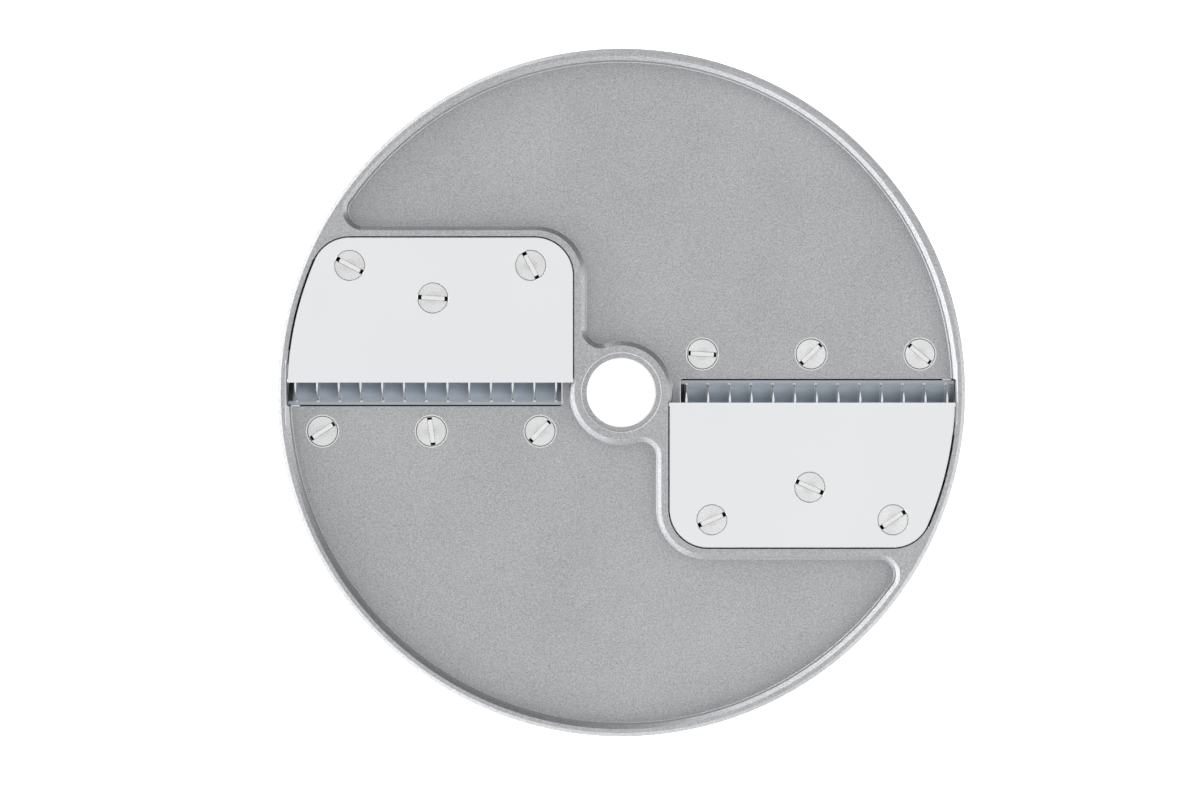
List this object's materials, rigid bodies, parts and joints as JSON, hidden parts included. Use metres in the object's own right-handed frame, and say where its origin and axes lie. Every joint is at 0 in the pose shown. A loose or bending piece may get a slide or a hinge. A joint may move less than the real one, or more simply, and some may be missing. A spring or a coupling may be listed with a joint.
{
  "type": "julienne disc",
  "caption": "Round aluminium cutting disc for a vegetable cutter, with slicing blades and rows of upright teeth that cut julienne strips.",
  "frame": {"origin": "on the axis of the shaft bore, at the flat underside that the disc lies on", "axes": "+Z along the bore towards the cutting side, X along the cutting edges, +Y the way the right-hand blade moves"},
  "size_m": [0.19, 0.19, 0.016],
  "materials": {
    "casting": "fine bead-blasted",
    "blade_steel": "fine ground, satin",
    "comb_steel": "bright rolled",
    "tooth_steel": "ground, sharp leading edge",
    "screw_steel": "turned"
  },
  "bodies": {
    "root": {"disc_body": "casting", "blade_right": "blade_steel", "blade_left": "blade_steel", "comb_right": "comb_steel", "comb_left": "comb_steel", "tooth_right_1": "tooth_steel", "tooth_right_2": "tooth_steel", "tooth_right_3": "tooth_steel", "tooth_right_4": "tooth_steel", "tooth_right_5": "tooth_steel", "tooth_right_6": "tooth_steel", "tooth_right_7": "tooth_steel", "tooth_right_8": "tooth_steel", "tooth_right_9": "tooth_steel", "tooth_right_10": "tooth_steel", "tooth_right_11": "tooth_steel", "tooth_right_12": "tooth_steel", "tooth_right_13": "tooth_steel", "tooth_left_1": "tooth_steel", "tooth_left_2": "tooth_steel", "tooth_left_3": "tooth_steel", "tooth_left_4": "tooth_steel", "tooth_left_5": "tooth_steel", "tooth_left_6": "tooth_steel", "tooth_left_7": "tooth_steel", "tooth_left_8": "tooth_steel", "tooth_left_9": "tooth_steel", "tooth_left_10": "tooth_steel", "tooth_left_11": "tooth_steel", "tooth_left_12": "tooth_steel", "tooth_left_13": "tooth_steel", "blade_screw_right_1": "screw_steel", "blade_screw_right_2": "screw_steel", "blade_screw_right_3": "screw_steel", "blade_screw_left_1": "screw_steel", "blade_screw_left_2": "screw_steel", "blade_screw_left_3": "screw_steel", "comb_screw_right_1": "screw_steel", "comb_screw_right_2": "screw_steel", "comb_screw_right_3": "screw_steel", "comb_screw_left_1": "screw_steel", "comb_screw_left_2": "screw_steel", "comb_screw_left_3": "screw_steel"}
  },
  "joints": []
}
